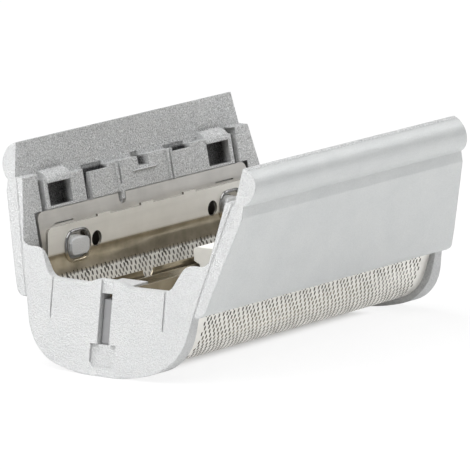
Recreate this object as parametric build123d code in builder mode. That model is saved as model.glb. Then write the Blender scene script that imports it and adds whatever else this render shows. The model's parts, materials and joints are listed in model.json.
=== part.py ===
# Shaver foil head, a spare part: a silver moulded frame that holds two arched, perforated foils and a
# slit trimmer between them.  It lies on its foils with the open side, which snaps onto the shaver, up.
# Millimetres.  X runs along the foils, Y across them, Z up; the origin is the middle of the underside.
import os
from math import cos, radians, sin, sqrt, tan

from build123d import *

os.makedirs("parts", exist_ok=True)

# Ends of the frame
end_half = 22.95           # half length at the underside, on the centre line
end_lean = 8.65            # degrees the end walls lean in
wall_lean = 11.7           # degrees the ends of the side walls lean in, above the end walls' upper edge
end_bulge_r = 87.0         # plan radius of the end faces
end_wall = 2.7             # end wall at the underside; its inner face also ends the foil windows
end_top_wall = 1.0         # wall left at the thin upper edge of the end walls
end_top_z = 8.75           # upper edge of the end walls
end_bump_z = 9.25          # raised middle of that edge
end_bump_half = 1.3
shelf_z = 11.45            # shoulders beside the end walls' low middle
shelf_y = 8.7
shelf_foot_y = 7.25        # where the shoulder's curve runs out on the low edge
shelf_r = 1.3
shelf_blend_r = 1.0        # hollow curve between shoulder and side wall
cap_bottom_r = 22.0        # radius across the underside of the end caps
cap_foot = 2.0             # half width of the flat foot in the middle of that underside
cap_side_y = 10.0          # flank of the end caps at the sill
cap_flank = 12.0           # degrees of that flank from upright
cap_corner_r = 5.5

# Side walls
rim_z = 21.0               # the open rim
lip_y = 13.7               # inner corner of the rim
lip_flat = 0.15
bead_y = 15.25             # outermost line of the rounded bead under the rim
bead_z = 19.15
neck_z = 17.4              # groove between bead and panel
panel_top_z = 16.3
panel_low_y = 11.45        # outer panel at panel_low_z
panel_low_z = 7.45
panel_flare = 17.4         # degrees the panels lean outwards towards the rim
sill_z = 6.6               # underside of the side walls, upper edge of the foil windows
sill_r = 1.0
ledge_y = 12.25            # inner edge of the seat ledge that the shaver body meets
ledge_z = 17.7
ledge_outer_y = 13.25      # foot of the lip behind the ledge
inner_lean = 10.4          # degrees of the walls' inner face

# Snap features on the walls' inner face
land_drop = 0.5            # the middle of the ledge lies lower than its ends
hook_inset = 6.95          # middle of a snap hook, in from the end walls
hook_length = 3.9
hook_proud = 0.2
hook_root = 0.25           # roof let into the lip
hook_low_z = 16.7
hook_top_z = 17.75
hook_wall = 0.1            # roof wider than the pocket under it, each side
hook_pocket_h = 2.3
hook_pocket_depth = 1.3
relief_gap = 0.5           # from a hook's end to its relief slot
relief_w = 0.85
relief_h = 3.7
relief_depth = 1.2
box_xs = (-6.6, 7.2)       # middles of the box pockets
box_length = 3.3
box_front = 0.35           # wall in front of the pocket
box_width = 0.75
box_above = 0.1
box_depth = 1.8
box_front_drop = 0.4       # the wall in front is lower than the ledge
step_w = 1.0               # groove between the front hook and box
step_depth = 0.8
rib_xs = (-3.6, 5.0)       # pairs of ribs beside the middle, with a groove between them
rib_w = 0.28
rib_proud = 0.2
rib_groove_w = 0.3
rib_groove_depth = 0.6
tooth_w = 0.45             # tooth under the front pair, in the strip's notch
tooth_h = 0.75
scoop_x = 0.65             # half round scoop in the ledge
scoop_r = 0.95
scoop_back = 0.3           # its centre behind the wall's inner face
scoop_above = 0.2
scoop_depth = 1.1
lip_half = 2.0             # small lip under the scoop
lip_proud = 0.25
lip_h = 0.4
lip_drop = 0.2

# Foils: the outer surface, given by four lines across the arch
foil_t = 0.25
foil_end_gap = 0.25        # from a foil's end to the end wall
foil_leg_inset = 2.3       # the upper margin is shorter by this at each end
foil_leg_y = 10.38         # outer face of the upper margin
foil_leg_top = 12.7
foil_bend_z = 9.1          # margin ends, flank begins
foil_flank = 18.1          # degrees of the flank from upright
foil_crest_y = 4.0         # a point on the shallow bottom
foil_crest_z = 0.84
foil_bottom = 15.6         # degrees of the bottom from level
foil_inner_y = 2.3         # outer face of the inner leg, beside the trimmer
foil_inner_top = 8.6
foil_bend_r = 6.0
foil_shoulder_r = 4.5
foil_inner_r = 1.7
foil_travel_up = 0.3
foil_travel_down = 0.4

# Foil margin: float windows with a drawn rim, round holes, tabs and notches
pin_inset = 4.75           # float pins of the frame, in from the ends of the foil's upper margin
pin_z = 10.35
pin_w = 2.85
pin_h = 1.7
pin_r = 0.6
pin_proud = 0.45           # beyond the foil's inner face
pin_side_gap = 0.28        # clearance beside a pin, along the foil
pin_slack = 0.12           # clearance left above and below at the ends of the travel
rim_w = 0.36               # width of the drawn rim round a window
rim_proud = 0.25
window_r = 1.0
hole_step = 3.2            # from a pin to the round hole beside it
hole_z = 10.54
hole_d = 1.6
tab_pitch = 7.2
tab_shift = 1.3
tab_length = 2.05
tab_h = 0.25
notch_step = 1.1           # half round notches in the inner leg, in from the pins
notch_r = 0.85

# Perforation, coarser than the real one: rows of slanted slits along the arch
slit_rows = 7
slit_first = 4.9           # distance of the first row from the upper margin's edge, along the arch
slit_row_pitch = 1.65
slit_pitch = 2.2
slit_margin = 1.3          # plain foil at each end
slit_length = 1.35
slit_w = 0.5
slit_slant = 58.0          # degrees from the foil's length

# Spring strips: sheet steel let into the walls behind the foils' margins
strip_t = 0.3
strip_inset = 2.75         # shorter than the foil windows by this at each end
strip_top_z = 14.1
strip_low_z = 9.7
strip_r = 0.8
strip_end_gap = 0.4
strip_edge_gap = 0.05
strip_hole_gap = 0.12
strip_slit_inset = 4.0     # middle of a slit, in from the strip's ends
strip_slit_length = 3.1
strip_slit_z = 12.7
strip_slit_w = 0.14
strip_notch_w = 1.2
strip_notch_depth = 1.1

# Foil formers and the trimmer's guides on the inside of the end walls
former_length = 1.35
former_gap = 0.35          # from a former to the foil's inner face
former_top_z = 7.9
bridge_length = 3.2        # bridge over the trimmer's spring, out from the end wall
bridge_half = 1.55
bridge_h = 0.7
slot_w = 1.42              # slot in the end wall that guides the trimmer
slot_low_z = 3.0
slot_top_z = 7.95
groove_depth = 0.25        # shallow groove from the slot up to the raised middle
plate_half = 1.5           # shallow recess under the slot
plate_low_z = 0.85
plate_top_z = 3.1
plate_depth = 0.25
plate_chamfer = 0.5
line_y = 6.77              # two engraved lines on each end face
line_low_z = 5.0
line_w = 0.14
line_depth = 0.12

# Trimmer
comb_half = 1.9            # outer half width of the slit comb
comb_t = 0.25
comb_crest_z = 0.5
comb_top_z = 8.0
comb_end_gap = 1.25        # from the comb's end to the end wall
comb_r = 1.5
comb_margin = 3.6          # plain channel at each end
comb_pitch = 1.1
comb_slot_w = 0.45
comb_slot_h = 2.2
blade_gap = 0.2            # from the comb's inner faces to the blade
blade_crest_gap = 0.1
blade_t = 0.25
blade_top_z = 6.0
blade_margin = 1.4
blade_pitch = 1.28
blade_slot_w = 0.55
blade_travel = 1.0
blade_end_gap = 0.2
trimmer_travel = 0.5
holder_low_gap = 0.3       # holder to the comb's crest
holder_top_z = 5.4
holder_length_in = 1.6     # length that sits inside the comb
holder_end_gap = 0.2
tongue_gap = 0.12          # tongue to the sides of the slot
tongue_root = 0.5          # tongue let into the holder's body
tongue_seat = 0.05         # tongue above the slot's lower end
tongue_recess = 0.6        # tongue behind the end face
spigot_d = 1.0
spigot_h = 0.8
spring_d = 1.9             # outside diameter
spring_wire = 0.28
spring_turns = 3.5
spring_seat_gap = 0.02
driver_half_length = 4.75
driver_low_z = 3.0
driver_head_gap = 0.3      # head above the comb's legs
driver_head_h = 1.45
driver_r = 0.45
fork_w = 2.4
fork_depth = 2.3

# Derived sizes
end_inner = end_half - end_wall
foil_half = end_inner - foil_end_gap
foil_leg_half = foil_half - foil_leg_inset
strip_half = end_inner - strip_inset
pin_x = foil_leg_half - pin_inset
hole_x = pin_x - hole_step
notch_x = pin_x - notch_step
hook_x = end_inner - hook_inset
strip_slit_x = strip_half - strip_slit_inset
comb_length_half = end_inner - comb_end_gap
slit_count = int(2 * (foil_half - slit_margin) / slit_pitch)
comb_slots = int(2 * (comb_length_half - comb_margin) / comb_pitch) + 1
flank_out = (cos(radians(foil_flank)), -sin(radians(foil_flank)))
bottom_out = (sin(radians(foil_bottom)), -cos(radians(foil_bottom)))
window_w = pin_w + 2 * pin_side_gap
window_low_z = pin_z - pin_h / 2 - foil_travel_up - pin_slack
window_top_z = pin_z + pin_h / 2 + foil_travel_down + pin_slack
window_h = window_top_z - window_low_z
window_z = (window_top_z + window_low_z) / 2
foil_inner_face = foil_leg_y - foil_t
blade_half = comb_half - comb_t - blade_gap
blade_crest_z = comb_crest_z + comb_t + blade_crest_gap
holder_inner_x = comb_length_half - holder_length_in
blade_half_length = holder_inner_x - blade_travel - blade_end_gap
blade_slots = int(2 * (blade_half_length - blade_margin) / blade_pitch) + 1
bridge_low_z = former_top_z
spring_x = holder_inner_x + holder_length_in * 0.62
land_z = ledge_z - land_drop


def end_x(z):
    """Half length of the end walls on the centre line at height z."""
    return end_half - z * tan(radians(end_lean))


def wall_in(z):
    """Distance of the walls' inner face from the middle at height z."""
    return ledge_y - (ledge_z - z) * tan(radians(inner_lean))


def panel_out(z):
    """Distance of the walls' outer panel from the middle at height z."""
    return panel_low_y + (z - panel_low_z) * tan(radians(panel_flare))


def wall_middle(z):
    """Middle of the walls' thickness at height z."""
    return (wall_in(z) + panel_out(z)) / 2


def meet(p, p_dir, q, q_dir):
    """Point where the line through p along p_dir meets the line through q along q_dir."""
    turn = p_dir[0] * q_dir[1] - p_dir[1] * q_dir[0]
    s = ((q[0] - p[0]) * q_dir[1] - (q[1] - p[1]) * q_dir[0]) / turn
    return (p[0] + s * p_dir[0], p[1] + s * p_dir[1])


def flank_line(depth):
    """Point and direction of the arch's flank, moved into the arch by depth."""
    point = (foil_leg_y - depth * flank_out[0], foil_bend_z - depth * flank_out[1])
    return point, (-flank_out[1], flank_out[0])


def arch_corners(depth):
    """The arch's three corners, moved into the arch by depth."""
    upright = (0.0, 1.0)
    flank, flank_dir = flank_line(depth)
    bottom = (foil_crest_y - depth * bottom_out[0], foil_crest_z - depth * bottom_out[1])
    bottom_dir = (-bottom_out[1], bottom_out[0])
    bend = meet((foil_leg_y - depth, 0.0), upright, flank, flank_dir)
    shoulder = meet(flank, flank_dir, bottom, bottom_dir)
    inner = meet(bottom, bottom_dir, (foil_inner_y + depth, 0.0), upright)
    return [bend, shoulder, inner]


def arch_radii(depth):
    """Fillet radii that keep the arch's offsets parallel."""
    return [foil_bend_r - depth, foil_shoulder_r - depth, foil_inner_r - depth]


def arch_path(depth, leg_top, inner_top):
    """The arch from the top of its outer leg to the top of its inner leg, in Y and Z."""
    start = (foil_leg_y - depth, leg_top)
    finish = (foil_inner_y + depth, inner_top)
    return FilletPolyline(start, *arch_corners(depth), finish, radius=arch_radii(depth))


def flank_y(z, depth):
    """Distance of the arch's flank from the middle at height z, moved into the arch by depth."""
    point, direction = flank_line(depth)
    return point[0] + (z - point[1]) * direction[0] / direction[1]


def former_path(depth, top_z):
    """The part of the arch below the bend, cut off level at top_z."""
    start = (flank_y(top_z, depth), top_z)
    finish = (foil_inner_y + depth, top_z)
    return FilletPolyline(start, *arch_corners(depth)[1:], finish, radius=arch_radii(depth)[1:])


def underside(y):
    """Height of the end caps' round underside at a distance from the middle."""
    return sqrt(cap_bottom_r**2 - cap_foot**2) - sqrt(cap_bottom_r**2 - y**2)


def cap_corner():
    """Where the end caps' flank meets the arc across their underside."""
    slope = tan(radians(cap_flank))
    base = cap_side_y - sill_z * slope
    a = slope**2 + 1
    b = slope * base - sqrt(cap_bottom_r**2 - cap_foot**2)
    z = (-b - sqrt(b**2 - a * (base**2 - cap_foot**2))) / a
    return (base + slope * z, z)


def end_trim(inset):
    """Block that ends at the leaning, bulging end faces, moved in by inset."""
    edge_y = bead_y + 2
    sag = end_bulge_r - sqrt(end_bulge_r**2 - edge_y**2)
    top_z = rim_z + 1
    top_half = end_x(end_top_z) - (top_z - end_top_z) * tan(radians(wall_lean))
    with BuildPart() as block:
        for height, reach in ((0, end_half), (end_top_z, end_x(end_top_z)), (top_z, top_half)):
            half = reach - inset
            with BuildSketch(Plane.XY.offset(height)):
                with BuildLine():
                    ThreePointArc((half - sag, -edge_y), (half, 0), (half - sag, edge_y))
                    Line((half - sag, edge_y), (sag - half, edge_y))
                    ThreePointArc((sag - half, edge_y), (-half, 0), (sag - half, -edge_y))
                    Line((sag - half, -edge_y), (half - sag, -edge_y))
                make_face()
        loft(ruled=True)
    return block.part


def wall_lines():
    """Engraved lines down the side walls' end faces, from the lip's foot to the end caps' flank."""
    low = (cap_side_y, sill_z)
    top = (ledge_outer_y - 2 * line_w, ledge_z)
    with BuildPart() as lines:
        with BuildSketch(Plane.YZ):
            with BuildLine():
                Polyline(low, (low[0] + line_w, sill_z), (top[0] + line_w, ledge_z), top, close=True)
            make_face()
            mirror(about=Plane.YZ)
        extrude(amount=end_half, both=True)
        add(end_trim(line_depth), mode=Mode.SUBTRACT)
    return lines.part


def end_plane(side, z):
    """Plane on an end face's centre line at height z, facing outwards."""
    lean = radians(end_lean)
    return Plane(origin=(side * end_x(z), 0, z), x_dir=(0, 1, 0), z_dir=(side * cos(lean), 0, sin(lean)))


inner_plane = Plane(
    origin=(0, ledge_y, ledge_z),
    x_dir=(1, 0, 0),
    z_dir=(0, -cos(radians(inner_lean)), sin(radians(inner_lean))),
)


def down_wall(z):
    """Distance along the inner wall from the ledge down to height z, as a local coordinate."""
    return (z - ledge_z) / cos(radians(inner_lean))


def wall_slot(places, width, low_z, top_z, depth):
    """Cut slots into the inner wall, between two heights, at several places along it."""
    low = down_wall(low_z)
    top = down_wall(top_z)
    with BuildSketch(inner_plane) as slot:
        with Locations(*[(x, (low + top) / 2) for x in places]):
            Rectangle(width, top - low)
    extrude(slot.sketch, amount=-depth, mode=Mode.SUBTRACT)


# Outer frame: two flared walls, two end caps
with BuildPart() as outer_frame:
    # One wall's section, along the whole length
    panel_top = (panel_out(panel_top_z), panel_top_z)
    with BuildSketch(Plane.YZ):
        with BuildLine():
            Polyline(
                (panel_top[0], neck_z),
                panel_top,
                (panel_out(sill_z), sill_z),
                (wall_in(sill_z), sill_z),
                (ledge_y, ledge_z),
                (ledge_outer_y, ledge_z),
                (lip_y, rim_z),
                (lip_y + lip_flat, rim_z),
            )
            ThreePointArc((lip_y + lip_flat, rim_z), (bead_y, bead_z), (panel_top[0], neck_z))
        make_face()
    extrude(amount=end_half, both=True)
    sill_edge = edges().filter_by(Axis.X).group_by(Axis.Z)[0].sort_by(Axis.Y)[-1]
    fillet(sill_edge, radius=sill_r)

    # The ledge is lower between the relief slots
    hook_end = hook_x + hook_length / 2
    land_half = hook_end + relief_gap + relief_w / 2
    land_depth = (ledge_outer_y - ledge_y) * cos(radians(inner_lean))
    wall_slot((0,), 2 * land_half, land_z, ledge_z + land_drop, land_depth)

    # Seat of the spring strip
    wall_slot(
        (0,),
        2 * (strip_half + strip_end_gap),
        strip_low_z - strip_edge_gap,
        strip_top_z + strip_edge_gap,
        strip_t,
    )

    # Groove beside the front box; pairs of ribs beside the middle, the front one with a tooth below it
    step_x = box_xs[0] - box_length / 2 - step_w / 2
    wall_slot((step_x,), step_w, strip_top_z, land_z, step_depth)
    rib_low, rib_top = down_wall(strip_top_z + strip_edge_gap), down_wall(land_z)
    rib_step = (rib_w + rib_groove_w) / 2
    with BuildSketch(inner_plane):
        with Locations(*[(x + step, (rib_low + rib_top) / 2) for x in rib_xs for step in (-rib_step, rib_step)]):
            Rectangle(rib_w, rib_top - rib_low)
    extrude(amount=rib_proud)
    wall_slot(rib_xs, rib_groove_w, strip_top_z, land_z, rib_groove_depth)
    with BuildSketch(inner_plane.offset(-2 * strip_t)):
        with Locations((rib_xs[0], rib_low)):
            Rectangle(tooth_w, 2 * tooth_h)
    extrude(amount=2 * strip_t + rib_proud)

    # Box pockets behind the ledge's front
    with BuildSketch(Plane.XY.offset(land_z + box_above)):
        with Locations(*[(x, wall_in(land_z) + box_front + box_width / 2) for x in box_xs]):
            Rectangle(box_length, box_width)
    extrude(amount=-box_above - box_depth, mode=Mode.SUBTRACT)
    wall_slot(box_xs, box_length, land_z - box_front_drop, land_z, box_front + box_width / 2)

    # Half round scoop and the lip under it
    with BuildSketch(Plane.XY.offset(land_z + scoop_above)):
        with Locations((scoop_x, wall_in(land_z) + scoop_back)):
            Circle(scoop_r)
    extrude(amount=-scoop_above - scoop_depth, mode=Mode.SUBTRACT)
    lip_top_z = land_z - scoop_depth - lip_drop
    with BuildSketch(Plane.YZ.offset(scoop_x)):
        with BuildLine():
            Polyline(
                (wall_in(lip_top_z) + lip_proud, lip_top_z),
                (wall_in(lip_top_z) - lip_proud, lip_top_z),
                (wall_in(lip_top_z - lip_h) + lip_proud, lip_top_z - lip_h),
                close=True,
            )
        make_face()
    extrude(amount=lip_half, both=True)

    # Snap hooks: a relief slot outboard, a pocket below, a rounded roof above
    wall_slot((land_half, -land_half), relief_w, ledge_z - relief_h, ledge_z, relief_depth)
    wall_slot(
        (hook_x, -hook_x),
        hook_length - 2 * hook_wall,
        hook_low_z - hook_pocket_h,
        hook_low_z,
        hook_pocket_depth,
    )
    hook_front = wall_in(hook_low_z) - hook_proud
    hook_back = ledge_outer_y + hook_root
    with BuildSketch(Plane.YZ.offset(hook_x - hook_length / 2)):
        with BuildLine():
            Polyline((hook_back, hook_top_z), (hook_back, hook_low_z), (hook_front, hook_low_z))
            ThreePointArc(
                (hook_front, hook_low_z),
                (hook_front + 0.3 * (hook_back - hook_front), hook_low_z + 0.75 * (hook_top_z - hook_low_z)),
                (hook_back, hook_top_z),
            )
        make_face()
    hook = extrude(amount=hook_length)
    mirror(hook, about=Plane.YZ)

    # Float pins that the foil's windows ride on
    with BuildSketch(Plane.XZ.offset(-(foil_inner_face - pin_proud))):
        with Locations((pin_x, pin_z), (-pin_x, pin_z)):
            RectangleRounded(pin_w, pin_h, pin_r)
    extrude(amount=-(wall_in(pin_z) + strip_t + pin_proud - foil_inner_face + pin_proud))
    # The other wall is this one turned round
    add(outer_frame.part.rotate(Axis.Z, 180))

    # End caps, from the window ends outwards
    corner = cap_corner()
    upper = [
        (corner[0], corner[1]),
        (cap_side_y, sill_z),
        (wall_middle(sill_z), sill_z),
        (wall_middle(shelf_z + 2 * shelf_blend_r), shelf_z + 2 * shelf_blend_r),
        (wall_in(shelf_z + 2 * shelf_blend_r), shelf_z + 2 * shelf_blend_r),
        (wall_in(shelf_z), shelf_z),
        (shelf_y, shelf_z),
        (shelf_foot_y, end_top_z),
        (2 * end_bump_half, end_top_z),
        (end_bump_half, end_bump_z),
    ]
    upper_left = [(-y, z) for y, z in reversed(upper)]
    for side in (1, -1):
        with BuildSketch(Plane.YZ.offset(side * end_inner)) as cap:
            with BuildLine():
                Polyline(*upper, *upper_left)
                middle_y = (corner[0] + cap_foot) / 2
                ThreePointArc(upper_left[-1], (-middle_y, underside(middle_y)), (-cap_foot, 0))
                Line((-cap_foot, 0), (cap_foot, 0))
                ThreePointArc((cap_foot, 0), (middle_y, underside(middle_y)), upper[0])
            make_face()
            low = cap.vertices().filter_by(lambda v: abs(abs(v.X) - corner[0]) < 0.01)
            fillet(low, radius=cap_corner_r)
            blend = cap.vertices().filter_by(lambda v: abs(abs(v.X) - wall_in(shelf_z)) < 0.01)
            fillet(blend, radius=shelf_blend_r)
            shelf_top = cap.vertices().filter_by(lambda v: abs(abs(v.X) - shelf_y) < 0.01)
            fillet(shelf_top, radius=shelf_r)
            shelf_foot = cap.vertices().filter_by(lambda v: abs(abs(v.X) - shelf_foot_y) < 0.01)
            fillet(shelf_foot, radius=shelf_r)
        extrude(amount=side * end_half)

    # Both ends trimmed to one leaning, bulging face
    add(end_trim(0), mode=Mode.INTERSECT)
    add(wall_lines(), mode=Mode.SUBTRACT)

    for side in (1, -1):
        # The end walls thin out above the formers, hollowed along their bulge
        thin_x = end_x(end_top_z) - end_top_wall
        thin_y = sqrt(end_bulge_r**2 - (end_bulge_r - thin_x + end_inner) ** 2)
        with BuildSketch(Plane.XY.offset(former_top_z)):
            with BuildLine():
                ThreePointArc((side * end_inner, -thin_y), (side * thin_x, 0), (side * end_inner, thin_y))
                Line((side * end_inner, thin_y), (side * end_inner, -thin_y))
            make_face()
        extrude(amount=shelf_z, mode=Mode.SUBTRACT)
        # Slot that guides the trimmer
        with BuildSketch(Plane.YZ.offset(side * end_inner)):
            with Locations((0, (slot_low_z + slot_top_z) / 2)):
                Rectangle(slot_w, slot_top_z - slot_low_z)
        extrude(amount=side * end_half, mode=Mode.SUBTRACT)
        # Shallow groove above the slot
        groove_h = end_bump_z - slot_top_z
        with BuildSketch(end_plane(side, slot_top_z)):
            with Locations((0, side * groove_h)):
                Rectangle(slot_w, 2 * groove_h)
        extrude(amount=-groove_depth, mode=Mode.SUBTRACT)
        # Shallow recess under the slot
        plate_h = plate_top_z - plate_low_z
        with BuildSketch(end_plane(side, plate_low_z)):
            with BuildLine():
                Polyline(
                    (plate_chamfer - plate_half, 0),
                    (plate_half - plate_chamfer, 0),
                    (plate_half, side * plate_chamfer),
                    (plate_half, side * plate_h),
                    (-plate_half, side * plate_h),
                    (-plate_half, side * plate_chamfer),
                    close=True,
                )
            make_face()
        extrude(amount=-plate_depth, mode=Mode.SUBTRACT)
        # Engraved lines
        line_sag = end_bulge_r - sqrt(end_bulge_r**2 - line_y**2)
        line_h = end_top_z - line_low_z + line_w
        with BuildSketch(end_plane(side, line_low_z)):
            with Locations((line_y, side * line_h / 2), (-line_y, side * line_h / 2)):
                Rectangle(line_w, line_h)
        extrude(amount=-(line_sag + line_depth), mode=Mode.SUBTRACT)
        # Foil formers and the bridge between them
        with BuildSketch(Plane.YZ.offset(side * end_inner)):
            with BuildLine():
                former = former_path(foil_t + former_gap, former_top_z)
                Line(former @ 1, former @ 0)
            make_face()
            mirror(about=Plane.YZ)
        extrude(amount=-side * former_length)
        with BuildSketch(Plane.YZ.offset(side * (end_inner + end_top_wall))):
            with Locations((0, bridge_low_z + bridge_h / 2)):
                Rectangle(2 * bridge_half, bridge_h)
        extrude(amount=-side * (bridge_length + end_top_wall))
outer_frame.part.label = "outer_frame"
export_step(outer_frame.part, "parts/outer_frame.step")

# Left foil, on the +Y side; the right one is the same piece turned round
with BuildPart() as foil_left:
    with BuildSketch(Plane.YZ):
        with BuildLine():
            outer = arch_path(0.0, foil_leg_top, foil_inner_top)
            inner = arch_path(foil_t, foil_leg_top, foil_inner_top)
            Line(outer @ 0, inner @ 0)
            Line(outer @ 1, inner @ 1)
        make_face()
    extrude(amount=foil_half, both=True)
    # Shorter upper margin
    end_cut = foil_half - foil_leg_half
    with BuildSketch(Plane.XZ.offset(-foil_leg_y - foil_t)):
        with Locations((foil_leg_half + end_cut / 2, foil_bend_z), (-foil_leg_half - end_cut / 2, foil_bend_z)):
            Rectangle(end_cut, 2 * foil_leg_top, align=(Align.CENTER, Align.MIN))
    extrude(amount=3 * foil_t, mode=Mode.SUBTRACT)
    # Drawn rims, float windows, holes
    with BuildSketch(Plane.XZ.offset(-foil_leg_y)):
        with Locations((pin_x, window_z), (-pin_x, window_z)):
            RectangleRounded(window_w + 2 * rim_w, window_h + 2 * rim_w, window_r + rim_w)
    extrude(amount=foil_t + rim_proud)
    with BuildSketch(Plane.XZ.offset(-foil_leg_y - foil_t)):
        with Locations((pin_x, window_z), (-pin_x, window_z)):
            RectangleRounded(window_w, window_h, window_r)
        with Locations((hole_x, hole_z), (-hole_x, hole_z)):
            Circle(hole_d / 2)
    extrude(amount=4 * foil_t + rim_proud, mode=Mode.SUBTRACT)
    # Tabs on the upper edge
    with BuildSketch(Plane.XZ.offset(-foil_leg_y)):
        with Locations((-tab_shift, foil_leg_top + tab_h / 2)):
            with GridLocations(tab_pitch, 1, 3, 1):
                Rectangle(tab_length, tab_h)
    extrude(amount=foil_t)
    # Half round notches in the inner leg
    with BuildSketch(Plane.XZ.offset(-foil_inner_y + foil_t)):
        with Locations((notch_x, foil_inner_top), (-notch_x, foil_inner_top)):
            Circle(notch_r)
    extrude(amount=-3 * foil_t, mode=Mode.SUBTRACT)
    # Rows of slanted slits down the flank, round the shoulder and under the crest
    for row in range(slit_rows):
        reach = slit_first + row * slit_row_pitch
        spot = outer.position_at(reach, position_mode=PositionMode.LENGTH)
        along = outer.tangent_at(reach, position_mode=PositionMode.LENGTH)
        slit_plane = Plane(origin=(0, spot.X, spot.Y), x_dir=(1, 0, 0), z_dir=(0, -along.Y, along.X))
        shift = slit_pitch / 2 * (row % 2) - slit_pitch / 4
        with BuildSketch(slit_plane):
            with Locations((shift, 0)):
                with GridLocations(slit_pitch, 1, slit_count, 1):
                    Rectangle(slit_length, slit_w, rotation=slit_slant)
        extrude(amount=3 * foil_t, both=True, mode=Mode.SUBTRACT)
foil_left.part.label = "foil_left"
export_step(foil_left.part, "parts/foil_left.step")

with BuildPart() as foil_right:
    add(foil_left.part.rotate(Axis.Z, 180))
foil_right.part.label = "foil_right"
export_step(foil_right.part, "parts/foil_right.step")

# Spring strips, let into the walls
with BuildPart() as strip_left:
    strip_h = down_wall(strip_top_z) - down_wall(strip_low_z)
    strip_mid = (down_wall(strip_top_z) + down_wall(strip_low_z)) / 2
    with BuildSketch(inner_plane):
        with Locations((0, strip_mid)):
            RectangleRounded(2 * strip_half, strip_h, strip_r)
        with Locations((strip_slit_x, down_wall(strip_slit_z)), (-strip_slit_x, down_wall(strip_slit_z))):
            Rectangle(strip_slit_length, strip_slit_w, mode=Mode.SUBTRACT)
        with Locations((rib_xs[0], down_wall(strip_top_z))):
            SlotOverall(2 * strip_notch_depth, strip_notch_w, rotation=90, mode=Mode.SUBTRACT)
    extrude(amount=-strip_t)
    with BuildSketch(Plane.XZ.offset(-foil_inner_face)):
        with Locations((pin_x, pin_z), (-pin_x, pin_z)):
            RectangleRounded(pin_w + 2 * strip_hole_gap, pin_h + 2 * strip_hole_gap, pin_r + strip_hole_gap)
    extrude(amount=-foil_leg_y, mode=Mode.SUBTRACT)
strip_left.part.label = "spring_strip_left"
export_step(strip_left.part, "parts/spring_strip_left.step")

with BuildPart() as strip_right:
    add(strip_left.part.rotate(Axis.Z, 180))
strip_right.part.label = "spring_strip_right"
export_step(strip_right.part, "parts/spring_strip_right.step")


def channel_section(half, crest_z, top_z, radius, thickness):
    """Section of a sheet bent into a channel with its crest down, in Y and Z."""
    with BuildLine() as channel:
        outside = FilletPolyline((half, top_z), (half, crest_z), (-half, crest_z), (-half, top_z), radius=radius)
        inside = FilletPolyline(
            (half - thickness, top_z),
            (half - thickness, crest_z + thickness),
            (thickness - half, crest_z + thickness),
            (thickness - half, top_z),
            radius=radius - thickness,
        )
        Line(outside @ 0, inside @ 0)
        Line(outside @ 1, inside @ 1)
    make_face(channel.edges())


# Trimmer comb: a slotted channel between the foils
with BuildPart() as trimmer_comb:
    with BuildSketch(Plane.YZ):
        channel_section(comb_half, comb_crest_z, comb_top_z, comb_r, comb_t)
    extrude(amount=comb_length_half, both=True)
    with BuildSketch(Plane.XY.offset(comb_crest_z - comb_t)):
        with GridLocations(comb_pitch, 1, comb_slots, 1):
            Rectangle(comb_slot_w, 3 * comb_half)
    extrude(amount=comb_slot_h + comb_t, mode=Mode.SUBTRACT)
trimmer_comb.part.label = "trimmer_comb"
export_step(trimmer_comb.part, "parts/trimmer_comb.step")

# Trimmer blade: a smaller slotted channel that runs to and fro inside the comb
with BuildPart() as trimmer_blade:
    blade_r = comb_r - comb_t - blade_crest_gap
    with BuildSketch(Plane.YZ):
        channel_section(blade_half, blade_crest_z, blade_top_z, blade_r, blade_t)
    extrude(amount=blade_half_length, both=True)
    with BuildSketch(Plane.XY.offset(blade_crest_z - blade_t)):
        with GridLocations(blade_pitch, 1, blade_slots, 1):
            Rectangle(blade_slot_w, 3 * blade_half)
    extrude(amount=comb_slot_h, mode=Mode.SUBTRACT)
trimmer_blade.part.label = "trimmer_blade"
export_step(trimmer_blade.part, "parts/trimmer_blade.step")

# Trimmer driver: sits in the blade, its forked head takes the shaver's drive pin
with BuildPart() as trimmer_driver:
    foot_half = blade_half - blade_t
    head_z = comb_top_z + driver_head_gap
    driver_top_z = head_z + driver_head_h
    with BuildSketch(Plane.YZ):
        with BuildLine():
            FilletPolyline(
                (0, driver_low_z),
                (foot_half, driver_low_z),
                (foot_half, comb_top_z),
                (comb_half, head_z),
                (comb_half, driver_top_z),
                (0, driver_top_z),
                radius=[driver_r / 2, driver_r / 4, driver_r / 4, driver_r],
            )
            mirror(about=Plane.YZ)
        make_face()
    extrude(amount=driver_half_length, both=True)
    with BuildSketch(Plane.XZ):
        with Locations((0, driver_top_z)):
            SlotOverall(2 * fork_depth, fork_w, rotation=90)
    extrude(amount=2 * comb_half, both=True, mode=Mode.SUBTRACT)
trimmer_driver.part.label = "trimmer_driver"
export_step(trimmer_driver.part, "parts/trimmer_driver.step")

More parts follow.
